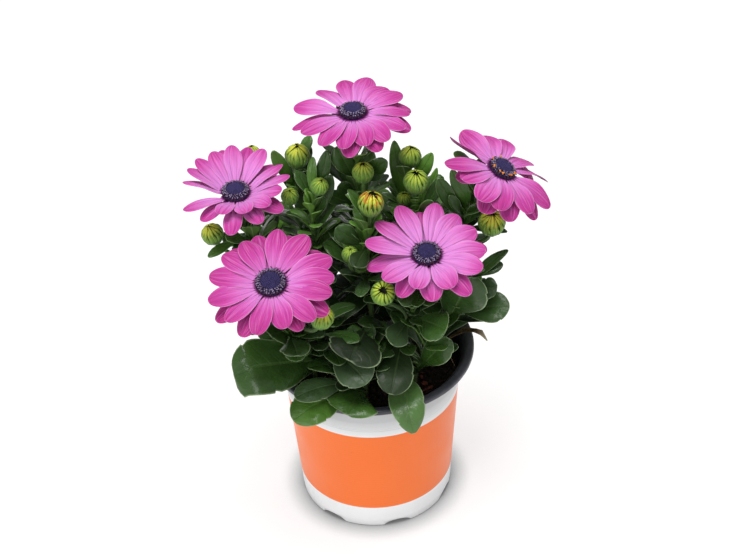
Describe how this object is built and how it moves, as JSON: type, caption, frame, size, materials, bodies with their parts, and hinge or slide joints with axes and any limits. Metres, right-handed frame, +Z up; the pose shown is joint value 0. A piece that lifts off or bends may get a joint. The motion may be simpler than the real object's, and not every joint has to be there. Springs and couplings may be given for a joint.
{
  "type": "potted flowering plant",
  "caption": "Potted osteospermum with lilac-pink daisy blooms, yellow-green buds and spoon-shaped leaves, in a white nursery pot with an orange band.",
  "frame": {"origin": "centre of the bounding box in plan, on the surface the pot stands on; the pot's own axis stands 2.7 mm to -X and 10.3 mm to +Y of it", "axes": "+Z up along the plant's height, which is its longest side; +X to the right and -Y towards the viewer of the plant's front"},
  "size_m": [0.203, 0.1616, 0.2555],
  "materials": {
    "pot": "satin",
    "soil": "matte",
    "foliage": "satin",
    "petals": "matte",
    "disc": "matte",
    "bud_rays": "matte"
  },
  "bodies": {
    "root": {"pot": "pot", "soil": "soil", "shoot_crown": "foliage", "shoot_left": "foliage", "shoot_right": "foliage", "shoot_front_left": "foliage", "shoot_front_right": "foliage", "shoot_back_left": "foliage", "shoot_back_right": "foliage", "shoot_middle_right": "foliage", "shoot_middle": "foliage", "shoot_middle_left": "foliage", "shoot_low_left": "foliage", "shoot_low_front": "foliage", "shoot_low_right": "foliage", "shoot_far_right": "foliage", "shoot_rear_right": "foliage", "shoot_rear_left": "foliage", "shoot_rear": "foliage", "bloom_top_petals": "petals", "bloom_top_disc": "disc", "bloom_left_petals": "petals", "bloom_left_disc": "disc", "bloom_right_petals": "petals", "bloom_right_disc": "disc", "bloom_front_petals": "petals", "bloom_front_disc": "disc", "bloom_side_petals": "petals", "bloom_side_disc": "disc", "bud_back_left_rays": "bud_rays", "bud_back_right_rays": "bud_rays", "bud_back_middle_rays": "bud_rays", "bud_orange_rays": "bud_rays", "bud_middle_right_rays": "bud_rays", "bud_middle_left_rays": "bud_rays", "bud_dark_rays": "bud_rays", "bud_far_left_rays": "bud_rays", "bud_far_right_rays": "bud_rays", "bud_open_rays": "bud_rays", "bud_small_rays": "bud_rays", "bud_low_rays": "bud_rays", "bud_hidden_right_rays": "bud_rays", "bud_hidden_left_rays": "bud_rays"}
  },
  "joints": []
}
